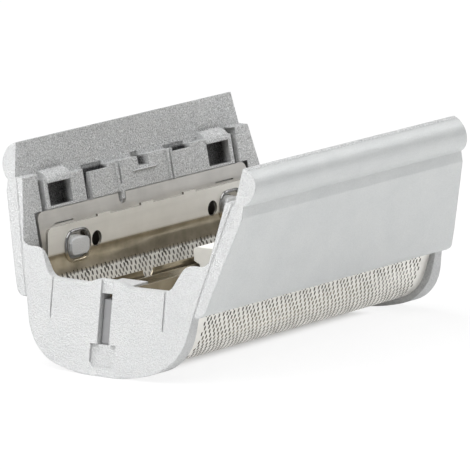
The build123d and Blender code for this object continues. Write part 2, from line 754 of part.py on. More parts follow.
# Trimmer holders: plug the comb's ends and slide in the end walls' slots, pressed down by a coil spring
for side, name in ((-1, "front"), (1, "rear")):
    with BuildPart() as holder:
        holder_half = comb_half - comb_t
        holder_low_z = comb_crest_z + comb_t + holder_low_gap
        with BuildSketch(Plane.YZ.offset(side * holder_inner_x)):
            with BuildLine():
                FilletPolyline(
                    (holder_half, holder_top_z),
                    (holder_half, holder_low_z),
                    (-holder_half, holder_low_z),
                    (-holder_half, holder_top_z),
                    radius=comb_r - comb_t,
                )
                Line((-holder_half, holder_top_z), (holder_half, holder_top_z))
            make_face()
        extrude(amount=side * (end_inner - holder_end_gap - holder_inner_x))
        tongue_top_z = slot_top_z - trimmer_travel - tongue_gap
        tongue_low_z = slot_low_z + tongue_seat
        tongue_start_x = end_inner - holder_end_gap - tongue_root
        with BuildSketch(Plane.XZ):
            with BuildLine():
                Polyline(
                    (side * tongue_start_x, tongue_low_z),
                    (side * (end_x(tongue_low_z) - tongue_recess), tongue_low_z),
                    (side * (end_x(tongue_top_z) - tongue_recess), tongue_top_z),
                    (side * tongue_start_x, tongue_top_z),
                    close=True,
                )
            make_face()
        extrude(amount=slot_w / 2 - tongue_gap, both=True)
        with BuildSketch(Plane.XY.offset(holder_top_z)):
            with Locations((side * spring_x, 0)):
                Circle(spigot_d / 2)
        extrude(amount=spigot_h)
    holder.part.label = "trimmer_holder_" + name
    export_step(holder.part, "parts/trimmer_holder_" + name + ".step")

    spring_low_z = holder_top_z + spring_wire / 2 + spring_seat_gap
    spring_height = bridge_low_z - holder_top_z - spring_wire - 2 * spring_seat_gap
    coil_r = (spring_d - spring_wire) / 2
    with BuildPart() as spring:
        with BuildLine():
            coil = Helix(
                pitch=spring_height / spring_turns,
                height=spring_height,
                radius=coil_r,
                center=(side * spring_x, 0, spring_low_z),
            )
        with BuildSketch(Plane(origin=coil @ 0, z_dir=coil % 0)):
            RegularPolygon(spring_wire / 2, 6)
        sweep(is_frenet=True)
    spring.part.label = "trimmer_spring_" + name
    export_step(spring.part, "parts/trimmer_spring_" + name + ".step")
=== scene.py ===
import json
from math import atan2, ceil, cos, pi, radians, sin, sqrt, tan

import bpy
from mathutils import Matrix, Vector
from mathutils.geometry import delaunay_2d_cdt

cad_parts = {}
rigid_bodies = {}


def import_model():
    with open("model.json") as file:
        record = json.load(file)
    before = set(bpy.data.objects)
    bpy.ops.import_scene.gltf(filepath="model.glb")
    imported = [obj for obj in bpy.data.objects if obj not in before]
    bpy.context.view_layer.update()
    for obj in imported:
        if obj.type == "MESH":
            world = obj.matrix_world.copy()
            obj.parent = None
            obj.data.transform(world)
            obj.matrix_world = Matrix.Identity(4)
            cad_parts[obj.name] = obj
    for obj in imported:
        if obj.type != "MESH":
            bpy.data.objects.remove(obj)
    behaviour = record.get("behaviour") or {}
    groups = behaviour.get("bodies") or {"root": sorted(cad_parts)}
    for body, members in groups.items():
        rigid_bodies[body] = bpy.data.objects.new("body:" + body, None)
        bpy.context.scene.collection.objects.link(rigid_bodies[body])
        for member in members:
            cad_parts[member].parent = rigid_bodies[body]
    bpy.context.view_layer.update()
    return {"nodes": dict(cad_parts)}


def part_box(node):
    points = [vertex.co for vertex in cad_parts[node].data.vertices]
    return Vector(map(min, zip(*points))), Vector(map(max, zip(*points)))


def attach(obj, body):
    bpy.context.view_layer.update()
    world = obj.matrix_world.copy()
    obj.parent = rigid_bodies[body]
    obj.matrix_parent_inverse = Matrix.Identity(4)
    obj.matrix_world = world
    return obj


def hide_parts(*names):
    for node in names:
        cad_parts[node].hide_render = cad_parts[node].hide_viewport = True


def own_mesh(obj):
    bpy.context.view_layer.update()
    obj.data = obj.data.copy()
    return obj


for leftover in list(bpy.data.objects):
    bpy.data.objects.remove(leftover, do_unlink=True)
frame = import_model()
nodes = frame["nodes"]

MM = 0.001

# Camera, at the photograph's angle
view_azimuth = 35.857      # degrees from +X that the camera looks
view_elevation = 10.567
view_roll = -0.598
view_distance = 684.3
view_centre = (-0.17, 0.19, 10.35)
lens = 528.6
sensor = 36.0

# Foils: the outer surface across the arch, as in the part's source
foil_low, foil_high = [[v / MM for v in corner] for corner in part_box("foil_left")]
foil_half = foil_high[0]
foil_leg_y = foil_high[1]
foil_inner_y = foil_low[1]
foil_t = 0.25
foil_leg_half = 17.7
foil_leg_top = 12.7
foil_leg_r = 0.6           # rounded corners of the upper margin
foil_bend_z = 9.1
foil_flank = 18.1          # degrees that the flank leans from upright
foil_crest = (4.0, 0.84)   # y and z of a point on the underside
foil_bottom = 15.6         # degrees that the underside leans from level
foil_inner_top = 8.6
foil_radii = (6.0, 4.5, 1.7)   # at the bend, the shoulder and the inner leg
pin_from_end = 4.75        # windows, holes and notches, in from the margin's ends
hole_from_pin = 3.2
notch_from_pin = 1.1
pin_x = foil_leg_half - pin_from_end
window_z = 10.40
window_w = 3.41
window_h = 2.64
window_r = 1.0
rim_w = 0.36
rim_proud = 0.25
hole_x = pin_x - hole_from_pin
hole_z = 10.54
hole_d = 1.6
tab_centres = (-8.5, -1.3, 5.9)
tab_length = 2.05
tab_h = 0.25
notch_x = pin_x - notch_from_pin
notch_r = 0.85

# Perforation: staggered upright slits in groups of five along the foil
web_t = 0.2                # the foil is this thin where the perforation starts
crest_t = 0.08             # and this thin round the crest of the arch
thin_start = 3.2           # distances along the arch from the upper edge
thin_end = 4.4
crest_start = 7.2
crest_end = 8.0
slit_first = 5.0
slit_last_gap = 6.4        # plain foil before the inner leg's edge
slit_row_pitch = 0.5
slit_pitch = 0.64
slit_margin = 1.35
slit_w = 0.27
slit_h = 0.52
slit_wide = 1.3            # every fifth slit of the first row is larger by this
slit_group = 5
slit_sway = 0.07           # groups bunch by this along the foil
slit_heave = 0.06          # and by this across it

# Fineness of the foils' meshes
bend_start = 2.0           # distance along the arch at which the margin starts to bend
sheet_step = 0.3           # spacing of points along curved edges
sheet_grid = 1.6           # spacing of points along the plain foil
round_step = 0.15          # spacing of points round a window
round_least = 3            # runs round a window's corner, or more
same_point = 1e-6          # points closer than this are one
slit_corners = 8
hole_corners = 24
leg_turns = 4              # runs round a corner of the upper margin
notch_turns = 10
rim_turns = 8

# Ends of the frame and the engraved lines on them, as in the part's source
end_half = 22.95
end_lean = 8.65
wall_lean = 11.7
end_top_z = 8.75
end_bulge_r = 87.0
line_low = (10.0, 6.6)     # y and z of the lines' lower and upper ends
line_top = (12.97, 17.7)
line_w = 0.14
line_depth = 0.12
line_sunk = 0.03           # depth that the paint leaves
line_turns = 24

# Side walls of the frame: their inner face, and their middle
wall_in_y = 12.25
wall_in_z = 17.7
wall_in_lean = 10.4
wall_mid_y = 9.06          # at the underside
wall_mid_slope = 0.2488

# Places of the finishes and of the painted shade and highlights. Two lengths are where one eases in, or
# out if so noted, and four are where it eases in and out again. A facing is how far a face looks along
# an axis.
outside_y = (-0.1, 0.1)    # past the walls' middle
inside_z = (10.5, 11.5)
across_facing = 0.5        # faces above this lie across the head
pocket_depth = (0.15, 1.0, 1.5, 1.6)
pocket_z = (13.9, 14.2, 16.75, 17.1)
pocket_x = (16.7, 16.8)    # out
seat_depth = (0.02, 0.1, 1.0, 1.1)
seat_z = (9.3, 9.5, 14.15, 14.3)
seat_x = (17.35, 17.5, 17.95, 18.05)
pin_reach = (1.5, 1.7)     # out, along the head from a pin's middle
pin_z = (9.0, 9.2)
pin_y = (10.2, 10.4)       # out
hook_x = 13.3
lip_shade_reach = (1.2, 2.4)  # out, along the head from a hook's middle
lip_shade_z = (17.3, 17.6, 17.5, 18.7)
lip_shade_y = (13.2, 13.35, 13.6, 13.75)
margin_z = (9.75, 10.15)
margin_y = (10.07, 10.125)  # the windows' rims stand further in than this
arch_z = (7.6, 8.0)        # out
arch_y = (3.2, 4.2)
slit_facing = 0.25         # faces above this are the walls of slits
top_facing = 0.7           # faces above this are the upper edge
top_edge_z = (12.0, 12.3)
hole_shade_x = (1.3, 1.7)  # out, from the middle of a round hole
hole_shade_z = (0.9, 1.1)  # out

# Levels of noise between which a colour or a finish changes
noise_ends = (0.3, 0.7)
grain_places = (0.3, 0.5, 0.7)
stain_places = (0.3, 0.65)
pocket_shade_levels = (0.4, 0.7)
speckle_places = (0.4, 0.6)

# Silver paint, with painted shade in its hollows and a painted highlight on the pins
paint_metallic = 0.35
paint_ior = 1.45
paint_rough = (0.5, 0.36)
paint_grain = ((0.57, 0.57, 0.57), (0.64, 0.645, 0.645), (0.71, 0.715, 0.71))
paint_inside = ((0.36, 0.36, 0.36), (0.65, 0.655, 0.655), (0.94, 0.945, 0.94))
paint_outside = (0.60, 0.615, 0.61)
outside_share = 0.7        # of that colour on the outer panels
outside_smooth = 0.75      # share of the flakes' relief that the outer panels lack
# Painted highlight on the pins
pin_painted_highlight = (0.84, 0.85, 0.86)
paint_cloud = ((0.95, 0.955, 0.96), (1.0, 1.0, 1.0))
# Painted shade: the speckle for the lip's foot and the dark colours for the pockets and strip seats
paint_speckle = ((1.0, 1.0, 1.0), (0.25, 0.25, 0.25))
painted_pocket_shade = ((0.05, 0.05, 0.05), (0.22, 0.22, 0.22))
flake_size = 0.14
flake_depth = 0.2
cloud_size = 3.0
paint_soft = 0.18          # rounding of painted edges

# Sheet metal; the foils' levels are for the flank, the satin margin and the arch
foil_metallic = (0.7, 0.35, 0.55)
foil_rough = (0.12, 0.48, 0.32)
foil_rough_spread = (1.1, 0.9)
# Painted dark reflection: the brown of the flank and inner leg
foil_painted_reflection = ((0.30, 0.255, 0.18), (0.54, 0.475, 0.355))
foil_bright = ((0.86, 0.84, 0.79), (0.92, 0.90, 0.85))
foil_lines = ((0.93, 0.93, 0.93), (1.0, 1.0, 1.0))
# Painted shade on the walls of the slits and on the upper edge
foil_edge_painted_shade = (0.16, 0.15, 0.13)
top_edge_share = 0.8       # of that colour on the upper edge
# Painted dark reflection on the windows' rims
foil_rim_painted_reflection = (0.24, 0.24, 0.24)
foil_stain_size = 2.5
sheet_lines = ((0.92, 0.92, 0.92), (1.0, 1.0, 1.0))
sheet_dark = 0.86          # stains darken the colour to this share
sheet_stain_size = 4.0
rolled_size = 0.9
rolled_stretch = (0.05, 1.0, 1.0)
rolled_depth = 0.004
hole_shade = (0.04, 0.035, 0.03)

# Moulded plastic
plastic_ior = 1.49
mottle_size = 1.2
mottle_dark = 0.93
skin_size = 0.12
skin_depth = 0.006
skin_rough = 0.06          # that the roughness varies by
plastic_soft = 0.12

# Floor, world and lamps, in metres where not said otherwise
floor_half = 1.5
floor_colour = (0.9, 0.9, 0.9, 1)
floor_glow = 0.88          # share of plain white in the floor as seen
floor_mirrored = 0.5       # the same for the floor as mirrored in the metal
shade_half = (14.0, 0.5)   # millimetres; under the object the floor has no such share
shade_edge = 4.0
sky_colour = (0.97, 0.985, 1.0, 1)
sky_light = 0.145
lamp_distance = 0.7
lamps = (                  # name, azimuth and elevation in degrees, size, watts
    ("key_above", 180.0, 70.0, 0.7, 6.2),
    ("key_left", 150.0, 43.0, 0.35, 1.12),
    ("fill_left", 180.0, 8.0, 0.35, 0.68),
    ("fill_right", 324.0, 40.0, 0.35, 1.55),
    ("fill_back", 90.0, 40.0, 0.35, 1.8),
)


def metres(point):
    """A point in millimetres, as a vector in metres."""
    return Vector(point) * MM


def put(name, data):
    """An object for a mesh, lamp or camera, in the scene."""
    obj = bpy.data.objects.new(name, data)
    bpy.context.scene.collection.objects.link(obj)
    return obj


def meet(p, p_dir, q, q_dir):
    """Point where the line through p along p_dir meets the line through q along q_dir."""
    turn = p_dir[0] * q_dir[1] - p_dir[1] * q_dir[0]
    s = ((q[0] - p[0]) * q_dir[1] - (q[1] - p[1]) * q_dir[0]) / turn
    return (p[0] + s * p_dir[0], p[1] + s * p_dir[1])


class Route:
    """Straight runs joined by arcs, in Y and Z, read by the distance along it."""

    def __init__(self, points, radii):
        self.runs = []
        start = Vector(points[0])
        for corner, after, radius in zip(points[1:-1], points[2:], radii):
            corner = Vector(corner)
            heading = (corner - start).normalized()
            onward = (Vector(after) - corner).normalized()
            turn = atan2(heading.x * onward.y - heading.y * onward.x, heading.dot(onward))
            first = corner - heading * radius * tan(abs(turn) / 2)
            self.runs.append((start, heading, (first - start).length, 0.0))
            self.runs.append((first, heading, radius * abs(turn), turn))
            start = corner + onward * radius * tan(abs(turn) / 2)
        heading = Vector(points[-1]) - start
        self.runs.append((start, heading.normalized(), heading.length, 0.0))
        self.length = sum(run[2] for run in self.runs)

    def at(self, reach):
        """Point and heading at a distance along the route; past its ends it runs on straight."""
        for place, (start, heading, length, turn) in enumerate(self.runs):
            if reach <= length or place == len(self.runs) - 1:
                break
            reach -= length
        if not turn:
            return start + heading * reach, heading
        side = Vector((-heading.y, heading.x)) * (1 if turn > 0 else -1)
        angle = turn * reach / length
        radius = length / abs(turn)
        point = start + heading * radius * sin(abs(angle)) + side * radius * (1 - cos(angle))
        return point, heading * cos(angle) + side * sin(abs(angle))


def foil_route():
    """The foil's outer surface, from the upper margin's edge round the arch to the inner leg's edge."""
    flank, bottom = radians(foil_flank), radians(foil_bottom)
    flank_dir = (sin(flank), cos(flank))
    bottom_dir = (cos(bottom), sin(bottom))
    upright = (0.0, 1.0)
    bend = (foil_leg_y, foil_bend_z)
    shoulder = meet(bend, flank_dir, foil_crest, bottom_dir)
    inner = meet(foil_crest, bottom_dir, (foil_inner_y, 0.0), upright)
    start, finish = (foil_leg_y, foil_leg_top), (foil_inner_y, foil_inner_top)
    return Route([start, bend, shoulder, inner, finish], foil_radii)


def smooth(low, high, value):
    """0 below low, 1 above high, easing between."""
    t = min(max((value - low) / (high - low), 0.0), 1.0)
    return t * t * (3 - 2 * t)


def foil_depth(s):
    """The foil's thickness at a distance along the arch."""
    thin = (web_t - foil_t) * smooth(thin_start, thin_end, s)
    return foil_t + thin + (crest_t - web_t) * smooth(crest_start, crest_end, s)


def rounded(width, height, radius, step):
    """A rounded rectangle round the origin, as points in order."""
    points = []
    turns = max(round_least, ceil(radius * pi / 2 / step))
    for quarter, (right, up) in enumerate(((1, 1), (-1, 1), (-1, -1), (1, -1))):
        x, y = right * (width / 2 - radius), up * (height / 2 - radius)
        for i in range(turns + 1):
            angle = (quarter + i / turns) * pi / 2
            points.append((x + radius * cos(angle), y + radius * sin(angle)))
    return points


def oval(width, height, corners, start=0.0):
    """An upright oval of some corners round the origin; start is where the first lies, in corners."""
    turns = [2 * pi / corners * (i + start) for i in range(corners)]
    return [(width / 2 * cos(a), height / 2 * sin(a)) for a in turns]


def shifted(points, x, s):
    """Points moved to x along the foil and s along the arch."""
    return [(x + a, s + b) for a, b in points]


def split(points):
    """A closed outline with points added, spaced as the sheet's are along the foil and the arch."""
    dense = []
    for (ax, ay), (bx, by) in zip(points, points[1:] + points[:1]):
        count = max(1, ceil(max(abs(bx - ax) / sheet_grid, abs(by - ay) / sheet_step)))
        dense += [(ax + (bx - ax) * i / count, ay + (by - ay) * i / count) for i in range(count)]
    return dense


def foil_outline(total):
    """The foil laid flat: X along it, the distance along the arch from its upper edge."""
    cut = foil_leg_top - foil_bend_z
    bows = [i * pi / 2 / leg_turns for i in range(leg_turns + 1)]
    corner = [(foil_leg_r * (1 - cos(a)), foil_leg_r * (1 - sin(a))) for a in bows]
    points = [(-foil_half, cut), (-foil_leg_half, cut)]
    points += [(-foil_leg_half + a, b) for a, b in corner]
    for centre in tab_centres:
        left, right = centre - tab_length / 2, centre + tab_length / 2
        points += [(left, 0), (left, -tab_h), (right, -tab_h), (right, 0)]
    points += [(foil_leg_half - a, b) for a, b in reversed(corner)]
    points += [(foil_leg_half, cut), (foil_half, cut), (foil_half, total)]
    bows = [i * pi / notch_turns for i in range(notch_turns + 1)]
    for centre in (notch_x, -notch_x):
        points += [(centre + notch_r * cos(a), total - notch_r * sin(a)) for a in bows]
    points += [(-foil_half, total)]
    return split(points)


def slit_centres(total):
    """Centres and sizes of the slits on the flat foil, bunched in groups along it."""
    rows = int((total - slit_last_gap - slit_first) / slit_row_pitch) + 1
    reach = foil_half - slit_margin
    columns = int(2 * reach / slit_pitch)
    group = 2 * pi / (slit_group * slit_pitch)
    for row in range(rows):
        stagger = slit_pitch / 2 * (row % 2)
        for column in range(columns):
            x = -reach + slit_pitch / 4 + stagger + column * slit_pitch
            s = slit_first + row * slit_row_pitch
            sway = slit_sway * sin(group * x + row * pi / 2)
            heave = slit_heave * (cos(group * x + row * pi / 3) if row else sin(group * x))
            size = slit_wide if row == 0 and column % slit_group == 0 else 1.0
            yield x + sway, s + heave, size


def foil_loops(total):
    """Edges of the flat foil: its outline, then its windows, round holes and slits."""
    loops = [foil_outline(total)]
    window = rounded(window_w, window_h, window_r, round_step)
    for x in (pin_x, -pin_x):
        loops.append(shifted(window, x, foil_leg_top - window_z))
    for x in (hole_x, -hole_x):
        loops.append(shifted(oval(hole_d, hole_d, hole_corners), x, foil_leg_top - hole_z))
    for x, s, size in slit_centres(total):
        loops.append(shifted(oval(slit_w * size, slit_h * size, slit_corners, start=0.5), x, s))
    return loops


def foil_flat(total):
    """Points and triangles of the flat foil, open in its windows, holes and slits."""
    flat, rings = [], []
    for loop in foil_loops(total):
        rings.append(list(range(len(flat), len(flat) + len(loop))))
        flat += [Vector(p) for p in loop]
    # Loose points that let the plain foil bend with the arch
    last_slit = total - slit_last_gap
    along = [-foil_half + (i + 0.5) * sheet_grid for i in range(int(2 * foil_half / sheet_grid))]
    for s in [row * sheet_step for row in range(ceil(total / sheet_step))]:
        if bend_start < s < slit_first - slit_h or s > last_slit + slit_h:
            flat += [Vector((x, s)) for x in along]
    points, _, cells, _, _, inside = delaunay_2d_cdt(flat, [], rings, 1, same_point)
    triangles = []
    for cell, held in zip(cells, inside):
        if set(held) == {0}:
            a, b, c = [points[i] for i in cell]
            turn = (b.x - a.x) * (c.y - a.y) - (b.y - a.y) * (c.x - a.x)
            triangles.append(tuple(reversed(cell) if turn < 0 else cell))
    return points, triangles


def window_rim(x, side):
    """The drawn rim round a float window: half an oval swept round it, on the foil's inner face."""
    verts, faces = [], []
    for i in range(rim_turns + 1):
        angle = pi * i / rim_turns
        grow = rim_w * (1 - cos(angle))
        step = round_step * (1 + grow / 2 / window_r)
        ring = rounded(window_w + grow, window_h + grow, window_r + grow / 2, step)
        face_y = foil_leg_y - foil_t - rim_proud * sin(angle)
        verts += [metres((side * (x + px), side * face_y, window_z + pz)) for px, pz in ring]
    count = len(ring)
    for i in range(rim_turns):
        for j in range(count):
            k = (j + 1) % count
            faces.append((i * count + j, i * count + k, (i + 1) * count + k, (i + 1) * count + j))
    return verts, faces


def foil_mesh(name, side):
    """The perforated foil as one mesh; side is 1 for the left one and -1 for the right, turned round."""
    route = foil_route()
    points, triangles = foil_flat(route.length)
    verts, normals = [], []
    for inner in (0, 1):
        for p in points:
            spot, heading = route.at(p.y)
            inward = Vector((heading.y, -heading.x))
            spot = spot + inward * (inner * foil_depth(p.y))
            verts.append(metres((side * p.x, side * spot.x, spot.y)))
            out = 1 if inner else -1
            normals.append(Vector((0, side * inward.x * out, inward.y * out)))
    count = len(points)
    edges = [(tri[i], tri[(i + 1) % 3]) for tri in triangles for i in range(3)]
    shared = set(edges)
    faces = triangles + [tuple(count + i for i in reversed(tri)) for tri in triangles]
    walls_start = len(faces)
    faces += [(b, a, count + a, count + b) for a, b in edges if (b, a) not in shared]
    rims_start = len(faces)
    for x in (pin_x, -pin_x):
        rim_verts, rim_faces = window_rim(x, side)
        faces += [tuple(len(verts) + i for i in face) for face in rim_faces]
        verts += rim_verts
    mesh = bpy.data.meshes.new(name)
    mesh.from_pydata(verts, [], faces)
    mesh.validate()
    # The sheet is shaded as the arch, the walls of its cuts flat and the rims by themselves
    split_normals = []
    for poly in mesh.polygons:
        poly.use_smooth = True
        for corner in poly.vertices:
            if poly.index < walls_start:
                split_normals.append(normals[corner])
            elif poly.index < rims_start:
                split_normals.append(poly.normal.copy())
            else:
                split_normals.append(Vector((0, 0, 0)))
    mesh.normals_split_custom_set(split_normals)
    return put(name, mesh)


def end_face(y, z):
    """X of the rear end face: it leans in, more above the end wall, and bulges."""
    lean = min(z, end_top_z) * tan(radians(end_lean)) + max(z - end_top_z, 0) * tan(radians(wall_lean))
    return end_half - lean - (end_bulge_r - sqrt(end_bulge_r**2 - y * y))


def line_paint(name):
    """Paint that has run into the engraved lines of the side walls' ends and nearly fills them."""
    verts, faces = [], []
    section = ((0, line_sunk), (line_w, line_sunk), (line_w, line_depth), (0, line_depth))
    for end, wall in ((1, 1), (1, -1), (-1, 1), (-1, -1)):
        start = len(verts)
        for i in range(line_turns + 1):
            y, z = [low + (high - low) * i / line_turns for low, high in zip(line_low, line_top)]
            for dy, sunk in section:
                verts.append(metres((end * (end_face(y + dy, z) - sunk), wall * (y + dy), z)))
        for a in range(start, start + 4 * line_turns, 4):
            for j in range(4):
                k = (j + 1) % 4
                faces.append((a + j, a + k, a + 4 + k, a + 4 + j)[:: end * wall])
        top = start + 4 * line_turns
        faces.append((start + 3, start + 2, start + 1, start)[:: end * wall])
        faces.append((top, top + 1, top + 2, top + 3)[:: end * wall])
    mesh = bpy.data.meshes.new(name)
    mesh.from_pydata(verts, [], faces)
    return put(name, mesh)


class Paint:
    """A material and its node tree, with short ways to add nodes."""

    def __init__(self, name):
        self.material = bpy.data.materials.new(name)
        self.material.use_nodes = True
        self.tree = self.material.node_tree
        self.shader = self.tree.nodes["Principled BSDF"]
        self.coords = self.add("ShaderNodeTexCoord").outputs["Object"]
        self.apart = self.add("ShaderNodeSeparateXYZ")
        self.link(self.coords, self.apart.inputs[0])

    def add(self, kind, **settings):
        """A node with its properties set."""
        node = self.tree.nodes.new(kind)
        for key, value in settings.items():
            setattr(node, key, value)
        return node

    def link(self, out, into):
        self.tree.links.new(out, into)

    def feed(self, value, socket):
        """A linked or constant value for a socket; a colour is three numbers."""
        if isinstance(value, bpy.types.NodeSocket):
            self.link(value, socket)
        else:
            socket.default_value = value + (1,) if isinstance(value, tuple) else value

    def set(self, values):
        """Constant or linked values on the shader's own sockets."""
        for socket, value in values.items():
            self.feed(value, self.shader.inputs[socket])

    def axis(self, name, absolute=False):
        """One of the object coordinates, in metres."""
        place = self.apart.outputs[name]
        return self.maths("ABSOLUTE", place) if absolute else place

    def stretch(self, scale):
        """Object coordinates scaled apart along the axes."""
        mapping = self.add("ShaderNodeMapping")
        mapping.inputs["Scale"].default_value = scale
        self.link(self.coords, mapping.inputs["Vector"])
        return mapping.outputs["Vector"]

    def facing(self, name):
        """How far a face looks along an axis: 1 where it lies across it, 0 where it runs along it."""
        normal = self.add("ShaderNodeSeparateXYZ")
        self.link(self.add("ShaderNodeNewGeometry").outputs["True Normal"], normal.inputs[0])
        return self.maths("ABSOLUTE", normal.outputs[name])

    def maths(self, operation, *values):
        """A sum of linked or constant values."""
        node = self.add("ShaderNodeMath", operation=operation)
        for value, socket in zip(values, node.inputs):
            self.feed(value, socket)
        return node.outputs[0]

    def away(self, value, middle):
        """How far a length lies from a middle in millimetres, to either side."""
        return self.maths("ABSOLUTE", self.maths("SUBTRACT", value, middle * MM))

    def step(self, value, low, high, fall=False):
        """Eases from 0 to 1 between two lengths in millimetres, or from 1 to 0."""
        node = self.add("ShaderNodeMapRange", interpolation_type="SMOOTHSTEP")
        node.inputs["From Min"].default_value = low * MM
        node.inputs["From Max"].default_value = high * MM
        node.inputs["To Min"].default_value = 1.0 if fall else 0.0
        node.inputs["To Max"].default_value = 0.0 if fall else 1.0
        self.link(value, node.inputs["Value"])
        return node.outputs["Result"]

    def span(self, value, low, inside, outside, high):
        """Eases from 0 to 1 between the first two lengths, and back between the last two."""
        return self.every(self.step(value, low, inside), self.step(value, outside, high, fall=True))

    def every(self, *masks):
        """1 where all of the masks are."""
        product = masks[0]
        for mask in masks[1:]:
            product = self.maths("MULTIPLY", product, mask)
        return product

    def noise(self, size, detail=2.0, roughness=0.5, vector=None):
        """Noise with features of about this size in millimetres."""
        node = self.add("ShaderNodeTexNoise")
        node.inputs["Scale"].default_value = 1 / (size * MM)
        node.inputs["Detail"].default_value = detail
        node.inputs["Roughness"].default_value = roughness
        self.link(vector or self.coords, node.inputs["Vector"])
        return node.outputs["Fac"]

    def ramp(self, fac, places, colours):
        """Colours along a factor, each at its place."""
        node = self.add("ShaderNodeValToRGB")
        stops = node.color_ramp.elements
        stops[0].position, stops[1].position = places[0], places[-1]
        stops[0].color, stops[1].color = colours[0] + (1,), colours[-1] + (1,)
        for place, colour in zip(places[1:-1], colours[1:-1]):
            stops.new(place).color = colour + (1,)
        self.link(fac, node.inputs["Fac"])
        return node.outputs["Color"]

    def spread(self, fac, low, high):
        """A noise's range spread between two levels."""
        node = self.add("ShaderNodeMapRange")
        node.inputs["From Min"].default_value = noise_ends[0]
        node.inputs["From Max"].default_value = noise_ends[1]
        node.inputs["To Min"].default_value = low
        node.inputs["To Max"].default_value = high
        self.link(fac, node.inputs["Value"])
        return node.outputs["Result"]

    def mix(self, a, b, factor, blend="MIX"):
        """Two colours mixed by a constant or linked factor."""
        node = self.add("ShaderNodeMix", data_type="RGBA", blend_type=blend)
        for value, socket in ((factor, node.inputs[0]), (a, node.inputs[6]), (b, node.inputs[7])):
            self.feed(value, socket)
        return node.outputs[2]

    def relief(self, height, depth, soft=None):
        """Bump of this depth in millimetres, over edges rounded by soft millimetres."""
        bump = self.add("ShaderNodeBump")
        bump.inputs["Strength"].default_value = 1.0
        bump.inputs["Distance"].default_value = depth * MM
        self.link(height, bump.inputs["Height"])
        if soft:
            bevel = self.add("ShaderNodeBevel", samples=8)
            bevel.inputs["Radius"].default_value = soft * MM
            self.link(bevel.outputs["Normal"], bump.inputs["Normal"])
        self.link(bump.outputs["Normal"], self.shader.inputs["Normal"])


def wall_depth(p):
    """Distance behind the walls' inner face."""
    slope = tan(radians(wall_in_lean))
    plane = p.maths("MULTIPLY_ADD", p.axis("Z"), slope, (wall_in_y - wall_in_z * slope) * MM)
    return p.maths("SUBTRACT", p.axis("Y", True), plane)


def pockets(p):
    """1 in the snap pockets of the walls' inner face, where shade is painted."""
    return p.every(
        p.span(wall_depth(p), *pocket_depth),
        p.span(p.axis("Z"), *pocket_z),
        p.step(p.axis("X", True), *pocket_x, fall=True),
    )


def strip_seats(p):
    """1 in the gaps round the spring strips' ends, where shade is painted."""
    return p.every(
        p.span(wall_depth(p), *seat_depth),
        p.span(p.axis("Z"), *seat_z),
        p.span(p.axis("X", True), *seat_x),
    )


def pins(p):
    """1 on the float pins, where a highlight is painted."""
    return p.every(
        p.step(p.away(p.axis("X", True), pin_x), *pin_reach, fall=True),
        p.step(p.axis("Z"), *pin_z),
        p.step(p.axis("Y", True), *pin_y, fall=True),
    )


def lip_foot_shade(p):
    """The lip's foot above the snap hooks, where speckled shade is painted."""
    return p.every(
        p.step(p.away(p.axis("X", True), hook_x), *lip_shade_reach, fall=True),
        p.span(p.axis("Z"), *lip_shade_z),
        p.span(p.axis("Y", True), *lip_shade_y),
    )


def sides(p):
    """1 on the walls' outer side and 1 on the walls' inner side, apart from faces across the head."""
    middle = p.maths("MULTIPLY_ADD", p.axis("Z"), wall_mid_slope, wall_mid_y * MM)
    outward = p.step(p.maths("SUBTRACT", p.axis("Y", True), middle), *outside_y)
    along = p.maths("LESS_THAN", p.facing("X"), across_facing)
    inward = p.every(p.maths("SUBTRACT", 1.0, outward), p.step(p.axis("Z"), *inside_z))
    return p.every(outward, along), p.every(inward, along)


def silver_paint():
    """Frame: silver paint, smoother on the outer panels, with painted shade in the pockets, the strip
    seats and the lip's foot above the hooks, and a painted highlight on the pins.
    """
    p = Paint("silver_paint")
    flakes = p.noise(flake_size, roughness=0.65)
    cloud = p.noise(cloud_size)
    outer, inner = sides(p)
    grain = p.ramp(flakes, grain_places, paint_grain)
    grain = p.mix(grain, p.ramp(flakes, grain_places, paint_inside), inner)
    grain = p.mix(grain, paint_outside, p.maths("MULTIPLY", outer, outside_share))
    # Painted highlight: the pins are made lighter than the rest of the silver
    grain = p.mix(grain, pin_painted_highlight, pins(p))
    silver = p.mix(grain, p.ramp(cloud, noise_ends, paint_cloud), 1.0, "MULTIPLY")
    pocket_shade_tone = p.ramp(flakes, pocket_shade_levels, painted_pocket_shade)
    speckle = p.ramp(flakes, speckle_places, paint_speckle)
    # Painted shade: dark colour in the snap pockets, the strip seats and, speckled, the lip's foot above
    # the hooks
    thin = p.maths("MAXIMUM", pockets(p), strip_seats(p))
    thin = p.maths("MAXIMUM", thin, p.every(lip_foot_shade(p), speckle))
    p.set({"Metallic": paint_metallic, "IOR": paint_ior})
    p.set({"Base Color": p.mix(silver, pocket_shade_tone, thin), "Roughness": p.spread(flakes, *paint_rough)})
    uneven = p.maths("MULTIPLY_ADD", outer, -outside_smooth, 1.0)
    p.relief(p.every(flakes, uneven), flake_depth, paint_soft)
    return p.material


